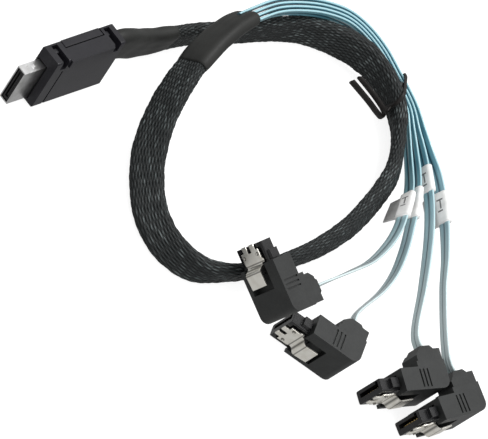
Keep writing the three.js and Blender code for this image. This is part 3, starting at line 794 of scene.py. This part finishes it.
def wireTiePiece():
    band = tieBand("wireTie")
    outline = flatOutline(tie["tailWidth"], tie["tailThickness"], tie["section"])
    tails = [
        sweepPiece(f"tieTail{i}", stationsOf(route, tie["step"]), outline) for i, route in enumerate(tieTails)
    ]
    bpy.ops.object.select_all(action="DESELECT")
    for part in (band, *tails):
        part.select_set(True)
    bpy.context.view_layer.objects.active = band
    bpy.ops.object.join()
    bpy.ops.object.mode_set(mode="EDIT")
    bpy.ops.mesh.select_all(action="SELECT")
    bpy.ops.mesh.normals_make_consistent(inside=False)
    bpy.ops.object.mode_set(mode="OBJECT")
    return band


wireTie = dress(wireTiePiece(), "tie", "tie", "wire_tie")
print("tie closed")

# Rigid parts: a copy of each CAD mesh is merged, cleaned of flat edges and given soft edges

# The four plugs are alike, so a piece made for one plug can be carried to another's place
def carried(piece, source, target):
    turn = placeMatrix(target) @ placeMatrix(source).inverted()
    turn.translation *= mm
    piece.data.transform(turn)
    return piece


# The edges across the plug that pass through the given corners of its side view
def chamferCorners(piece, place, corners, width):
    back = placeMatrix(place).inverted()
    bpy.ops.object.mode_set(mode="EDIT")
    bpy.ops.mesh.select_mode(type="EDGE")
    bpy.ops.mesh.select_all(action="DESELECT")
    bpy.ops.object.mode_set(mode="OBJECT")
    for edge in piece.data.edges:
        ends = [back @ (piece.data.vertices[vertex].co / mm) for vertex in edge.vertices]
        edge.select = any(all((end.xy - Vector(corner)).length < 0.05 for end in ends) for corner in corners)
    bpy.ops.object.mode_set(mode="EDIT")
    bpy.ops.mesh.bevel(offset=width * mm, segments=1)
    bpy.ops.object.mode_set(mode="OBJECT")


latchRise = {"start": 6.2, "end": 9.1, "newStart": 5.5, "length": 1.9, "padStretch": 1.68}


# The leaf's rise is drawn in towards the mating face, so that its flat pad is longer
def drawPad(piece, place):
    turn = placeMatrix(place)
    back = turn.inverted()
    for vertex in piece.data.vertices:
        local = back @ (vertex.co / mm)
        if local.x > latchRise["start"]:
            share = min((local.x - latchRise["start"]) / (latchRise["end"] - latchRise["start"]), 1)
            pulled = latchRise["newStart"] + share * latchRise["length"]
            beyond = max(local.x - latchRise["end"], 0)
            local.x = pulled + beyond * latchRise["padStretch"]
            vertex.co = (turn @ local) * mm
    return piece


# The plan of a plug's piece, from the mating face and across, kept as its UV in millimetres
def layPlan(piece, place):
    back = placeMatrix(place).inverted()
    layer = piece.data.uv_layers.new(name="plan")
    local = [back @ (vertex.co / mm) for vertex in piece.data.vertices]
    corners = [local[loop.vertex_index] for loop in piece.data.loops]
    flat = [number for corner in corners for number in (corner.x, corner.z)]
    layer.uv.foreach_set("vector", flat)
    piece.data.uv_layers.active = layer
    return piece


def softEdged(nodeName, name, width, segments=2, chamfer=None):
    bpy.ops.object.select_all(action="DESELECT")
    source = nodes[nodeName]
    piece = source.copy()
    piece.data = source.data.copy()
    piece.name = name
    piece.data.name = name
    piece.parent = None
    piece.matrix_world = Matrix.Identity(4)
    for key in list(piece.keys()):
        del piece[key]
    bpy.context.scene.collection.objects.link(piece)
    piece.select_set(True)
    bpy.context.view_layer.objects.active = piece
    bpy.ops.object.mode_set(mode="EDIT")
    bpy.ops.mesh.select_all(action="SELECT")
    bpy.ops.mesh.remove_doubles(threshold=4e-6)
    bpy.ops.mesh.dissolve_limited(angle_limit=math.radians(0.6))
    bpy.ops.object.mode_set(mode="OBJECT")
    if chamfer:
        chamferCorners(piece, *chamfer)
    soft = piece.modifiers.new("edge", "BEVEL")
    soft.width = width * mm
    soft.segments = segments
    soft.limit_method = "ANGLE"
    soft.angle_limit = math.radians(30)
    soft.miter_outer = "MITER_ARC"
    bpy.ops.object.modifier_apply(modifier=soft.name)
    bpy.ops.object.shade_smooth_by_angle(angle=math.radians(35))
    even = piece.modifiers.new("even", "WEIGHTED_NORMAL")
    even.keep_sharp = True
    bpy.ops.object.modifier_apply(modifier=even.name)
    return piece


dress(softEdged("host_body", "hostShell", 0.22), "host", "black_shell", "host_body")
dress(softEdged("host_cover", "hostCover", 0.16), "host", "black_shell", "host_cover")
dress(softEdged("host_shield", "hostNose", 0.07), "nose", "steel", "host_shield")
dress(softEdged("host_lining", "hostLining", 0.05), "mouth", "black_mouth", "host_lining")
dress(softEdged("host_blade", "hostBlade", 0.05), "mouth", "gold", "host_blade")


hostWell = {
    "wall": 1.5, "reach": 3, "floor": 14.9, "top": 17.6, "starts": (2.1, 21.3), "gap": 0.25, "length": 1.7,
    "edge": 0.15,
}


# A small peg stands in each of the two wells of the host plug's lip
def wellPeg(name, start):
    bpy.ops.object.select_all(action="DESELECT")
    low = (hostWell["wall"], start + hostWell["gap"], hostWell["floor"])
    high = (hostWell["reach"], start + hostWell["length"], hostWell["top"])
    middle = [(a + b) / 2 * mm for a, b in zip(low, high)]
    bpy.ops.mesh.primitive_cube_add(size=1, location=middle)
    peg = bpy.context.object
    peg.name = name
    peg.scale = [(b - a) * mm for a, b in zip(low, high)]
    bpy.ops.object.transform_apply(location=True, rotation=False, scale=True)
    soft = peg.modifiers.new("edge", "BEVEL")
    soft.width, soft.segments = hostWell["edge"] * mm, 2
    bpy.ops.object.modifier_apply(modifier=soft.name)
    turn = placeMatrix(hostPlace)
    turn.translation *= mm
    peg.data.transform(turn)
    bpy.ops.object.shade_smooth_by_angle(angle=math.radians(35))
    return dress(peg, "host", "black_shell")


for index, start in enumerate(hostWell["starts"]):
    wellPeg(f"hostPeg{index + 1}", start)
bootTop = drive["capTop"] - drive["capReach"]
bootCorners = ((drive["bootStart"], bootTop), (drive["bootEnd"], bootTop))
lastPlace = drivePlaces[-1]
driveShells, driveMouths, driveContacts = [], [], []
for number in range(1, 5):
    place = drivePlaces[number - 1]
    chamfer = (lastPlace, bootCorners, drive["bootCorner"])
    shell = softEdged("drive_4_shell", f"driveShell{number}", 0.2, chamfer=chamfer)
    shell = carried(shell, lastPlace, place)
    driveShells.append(dress(shell, "shell", "black_shell", f"drive_{number}_shell"))
    nose = softEdged(f"drive_{number}_mouth", f"driveMouth{number}", 0.12)
    driveMouths.append(dress(nose, "mouth", "black_mouth", f"drive_{number}_mouth"))
    pins = softEdged(f"drive_{number}_contacts", f"driveContacts{number}", 0.04, 1)
    driveContacts.append(dress(pins, "gold", "gold", f"drive_{number}_contacts"))
    leaf = layPlan(drawPad(softEdged(f"drive_{number}_latch", f"driveLatch{number}", 0.06), place), place)
    dress(leaf, "latch", "steel", f"drive_{number}_latch", body=f"latch_{number}")
print("plugs finished")

# Floor and light

stageLook = {
    "floorTone": (0.32, 0.32, 0.32), "floorGlow": 0.84, "below": 0.48, "level": 0.48, "above": 1.15,
}


def addFloor():
    bpy.ops.object.select_all(action="DESELECT")
    bpy.ops.mesh.primitive_plane_add(size=8, location=(0, 0, -0.0002))
    floor = bpy.context.object
    floor.name = "floor"
    finish = Finish("floorPaper")
    grain = finish.noise(finish.coordinates(), 300, 3)
    floor.data.materials.append(finish.surface(
        Base_Color=finish.mix(grain * 0.1, stageLook["floorTone"], (0.29, 0.29, 0.29)), Roughness=0.8,
        Emission_Color=(1, 1, 1, 1), Emission_Strength=stageLook["floorGlow"],
    ))
    floor.visible_diffuse = False
    floor.visible_glossy = False


def addLight(name, place, size, power):
    lamp = bpy.data.lights.new(name, "AREA")
    lamp.shape = "DISK"
    lamp.size = size
    lamp.energy = power
    holder = bpy.data.objects.new(name, lamp)
    holder.location = place
    holder.rotation_mode = "QUATERNION"
    holder.rotation_quaternion = Vector(place).to_track_quat("Z", "Y")
    holder.visible_camera = False
    bpy.context.scene.collection.objects.link(holder)


addFloor()
addLight("keyLight", (-0.25, 0.45, 1), 0.5, 6)
addLight("fillLight", (0.7, -0.5, 0.7), 0.6, 1.6)


# A studio that is bright overhead and dim below the table's level
def addWorld():
    world = bpy.data.worlds.new("studio")
    world.use_nodes = True
    tree = world.node_tree
    place = tree.nodes.new("ShaderNodeTexCoord")
    split = tree.nodes.new("ShaderNodeSeparateXYZ")
    ramp = tree.nodes.new("ShaderNodeValToRGB")
    share = tree.nodes.new("ShaderNodeMapRange")
    share.inputs[1].default_value, share.inputs[2].default_value = -1, 1
    tree.links.new(place.outputs["Generated"], split.inputs[0])
    tree.links.new(split.outputs[2], share.inputs[0])
    tree.links.new(share.outputs[0], ramp.inputs[0])
    tree.links.new(ramp.outputs[0], tree.nodes["Background"].inputs[0])
    ramp.color_ramp.elements.new(0.5)
    strongest = stageLook["above"]
    tones = ((0.3, stageLook["below"]), (0.52, stageLook["level"]), (0.85, strongest))
    for element, (position, tone) in zip(ramp.color_ramp.elements, tones):
        element.position = position
        element.color = (tone / strongest, tone / strongest, tone / strongest, 1)
    tree.nodes["Background"].inputs[1].default_value = strongest
    return world


bpy.context.scene.world = addWorld()
bpy.context.scene.view_settings.view_transform = "Standard"

# What the cords measure

def metres(stations, every=3):
    picked = stations[::every] + ([stations[-1]] if (len(stations) - 1) % every else [])
    return [tuple(station["at"] * mm) for station in picked]


def runLength(stations):
    return stations[-1]["distance"] * mm


runLength(sleeveStations)
metres(sleeveStations)
for index, piece in enumerate(ribbons):
    stations = stationsOf(ribbonRoutes[index], ribbon["step"])
    runLength(stations)
    metres(stations)
